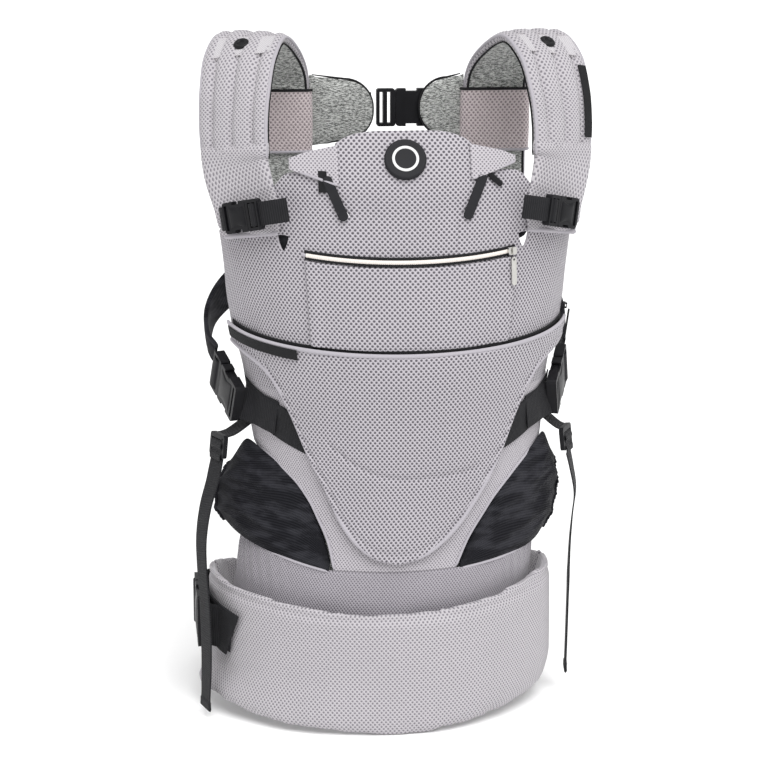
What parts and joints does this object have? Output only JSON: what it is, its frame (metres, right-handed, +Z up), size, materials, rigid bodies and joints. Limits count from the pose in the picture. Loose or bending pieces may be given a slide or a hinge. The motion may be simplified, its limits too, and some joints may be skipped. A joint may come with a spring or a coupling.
{
  "type": "soft structured baby carrier",
  "caption": "Front-worn soft baby carrier with padded waist belt, mesh body and pocket, folding head support, padded shoulder straps, chest strap and side-release buckles.",
  "frame": {"origin": "middle of the waist opening, at mid height of the belt's front", "axes": "+Z up along the wearer's body, -Y out of the front of the carrier (away from the wearer), +X to the viewer's right"},
  "size_m": [0.4391, 0.2833, 0.739],
  "materials": {
    "mesh": "open spacer mesh, light lilac grey",
    "heather": "brushed melange jersey",
    "black_fabric": "ribbed and gathered weave",
    "webbing": "ribbed polyester webbing",
    "binding": "black woven tape",
    "plastic": "satin moulded acetal",
    "rubber": "matte soft-touch",
    "zip": "cream nylon zip coil",
    "metal": "polished plated zinc"
  },
  "bodies": {
    "carrier": {"belt_front": "mesh", "belt_wing_left": "mesh", "belt_wing_right": "mesh", "seat_band": "mesh", "body_panel": "mesh", "upper_panel": "mesh", "inner_lining": "heather", "gusset_left": "black_fabric", "gusset_right": "black_fabric", "overlay_panel": "mesh", "overlay_top_binding": "mesh", "overlay_zip": "binding", "overlay_zip_slider": "plastic", "pocket_panel": "mesh", "pocket_zip_tape": "binding", "pocket_zip_coil": "zip", "trim_strip_left": "rubber", "trim_strip_right": "rubber", "shoulder_strap_left": "mesh", "shoulder_strap_right": "mesh", "strap_yoke_left": "mesh", "strap_yoke_right": "mesh", "strap_end_left": "black_fabric", "strap_end_right": "black_fabric", "snap_left": "plastic", "snap_right": "plastic", "shoulder_left_buckle_socket": "plastic", "shoulder_right_buckle_socket": "plastic", "side_left_buckle_plug": "plastic", "side_right_buckle_plug": "plastic", "side_webbing_left": "webbing", "side_webbing_right": "webbing", "waist_buckle_socket": "plastic", "waist_patch": "webbing", "leg_strap_tail_left": "webbing", "leg_strap_tail_right": "webbing"},
    "head_support": {"headrest": "mesh", "headrest_badge": "rubber", "ear_flap_left": "mesh", "ear_flap_right": "mesh"},
    "sleeve_left_body": {"sleeve_left": "mesh", "cross_pad_left": "heather"},
    "sleeve_right_body": {"sleeve_right": "mesh", "cross_pad_right": "heather", "chest_buckle_socket": "plastic"},
    "chest_plug": {"chest_buckle_plug": "plastic"},
    "shoulder_plug_left": {"shoulder_left_buckle_plug": "plastic", "shoulder_webbing_left": "webbing"},
    "shoulder_plug_right": {"shoulder_right_buckle_plug": "plastic", "shoulder_webbing_right": "webbing"},
    "side_socket_left": {"side_left_buckle_socket": "plastic"},
    "side_socket_right": {"side_right_buckle_socket": "plastic"},
    "waist_plug": {"waist_buckle_plug": "plastic", "waist_webbing": "webbing"},
    "pocket_slider": {"pocket_zip_slider": "metal"},
    "pocket_pull": {"pocket_zip_pull": "metal"},
    "overlay_pull": {"overlay_zip_pull": "plastic"},
    "leg_adjuster_left_body": {"leg_adjuster_left": "plastic"},
    "leg_adjuster_right_body": {"leg_adjuster_right": "plastic"}
  },
  "joints": [
    {"name": "head_support_fold", "type": "hinge", "parent": "carrier", "child": "head_support", "pos_m": [0, -0.1245, 0.4868], "axis": [1, 0, 0], "range_deg": [0, 55]},
    {"name": "left_sleeve_slide", "type": "slide", "parent": "carrier", "child": "sleeve_left_body", "axis": [0, 0, 1], "range_m": [-0.04, 0]},
    {"name": "right_sleeve_slide", "type": "slide", "parent": "carrier", "child": "sleeve_right_body", "axis": [0, 0, 1], "range_m": [-0.04, 0]},
    {"name": "chest_buckle_release", "type": "slide", "parent": "sleeve_left_body", "child": "chest_plug", "axis": [-1, 0, 0], "range_m": [0, 0.03]},
    {"name": "left_shoulder_buckle_release", "type": "slide", "parent": "carrier", "child": "shoulder_plug_left", "axis": [0.7316, -0.6525, 0.1977], "range_m": [0, 0.022]},
    {"name": "right_shoulder_buckle_release", "type": "slide", "parent": "carrier", "child": "shoulder_plug_right", "axis": [-0.7316, -0.6525, 0.1977], "range_m": [0, 0.022]},
    {"name": "left_side_buckle_release", "type": "slide", "parent": "carrier", "child": "side_socket_left", "axis": [0.2991, -0.8574, -0.4187], "range_m": [0, 0.032]},
    {"name": "right_side_buckle_release", "type": "slide", "parent": "carrier", "child": "side_socket_right", "axis": [-0.2991, -0.8574, -0.4187], "range_m": [0, 0.032]},
    {"name": "waist_buckle_release", "type": "slide", "parent": "carrier", "child": "waist_plug", "axis": [-0.02, 0.9998, 0], "range_m": [0, 0.04]},
    {"name": "pocket_zip_travel", "type": "hinge", "parent": "carrier", "child": "pocket_slider", "pos_m": [0, 0.12656, 0.51706], "axis": [0, -0.2781, 0.9605], "range_deg": [-46, 0]},
    {"name": "pocket_pull_swing", "type": "hinge", "parent": "pocket_slider", "child": "pocket_pull", "pos_m": [0.11376, -0.1084, 0.444], "axis": [-0.9064, -0.4225, 0], "range_deg": [0, 100]},
    {"name": "overlay_pull_swing", "type": "hinge", "parent": "carrier", "child": "overlay_pull", "pos_m": [0.18772, -0.02606, 0.37136], "axis": [-0.2365, -0.9716, 0], "range_deg": [0, 100]},
    {"name": "left_leg_adjuster_tilt", "type": "hinge", "parent": "carrier", "child": "leg_adjuster_left_body", "pos_m": [-0.1947, -0.0294, 0.241], "axis": [0.4229, -0.9062, 0], "range_deg": [0, 30]},
    {"name": "right_leg_adjuster_tilt", "type": "hinge", "parent": "carrier", "child": "leg_adjuster_right_body", "pos_m": [0.1857, -0.0294, 0.241], "axis": [-0.4229, -0.9062, 0], "range_deg": [0, 30]}
  ],
  "couplings": [
    {"joint": "right_sleeve_slide", "follows": "left_sleeve_slide", "ratio": 1}
  ]
}
